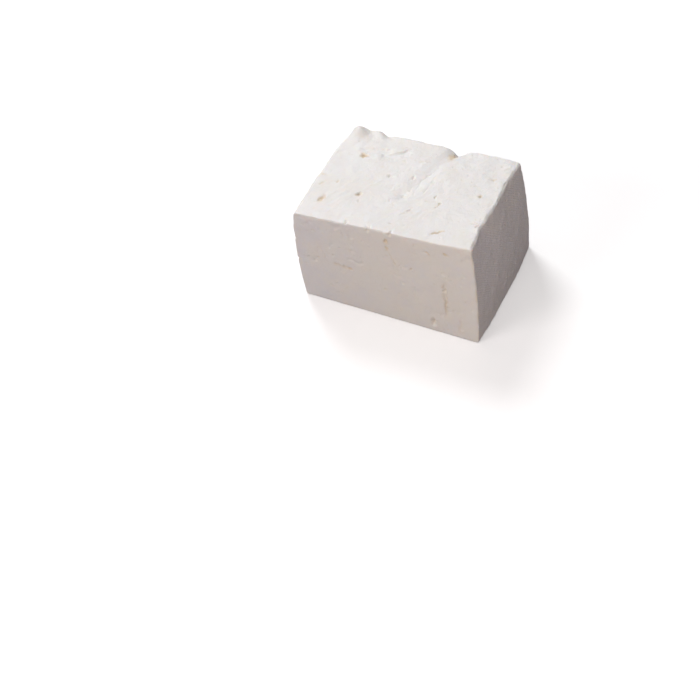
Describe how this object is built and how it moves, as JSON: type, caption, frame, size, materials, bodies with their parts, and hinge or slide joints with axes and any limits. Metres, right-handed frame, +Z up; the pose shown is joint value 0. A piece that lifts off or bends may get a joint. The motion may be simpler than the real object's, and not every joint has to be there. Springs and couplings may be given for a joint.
{
  "type": "feta block",
  "caption": "Block of white brined cheese with one flat cut face, softly rounded moulded edges, a notch in the back edge and small pits and cracks.",
  "frame": {"origin": "middle of the block's overall footprint, on its flat underside", "axes": "+X along the cut face, the block's longest extent; the cut face looks along -Y and the moulded back along +Y; +Z up"},
  "size_m": [0.112, 0.082, 0.07],
  "materials": {
    "feta": "moist, slightly crumbly white cheese"
  },
  "bodies": {
    "root": {"block": "feta"}
  },
  "joints": []
}
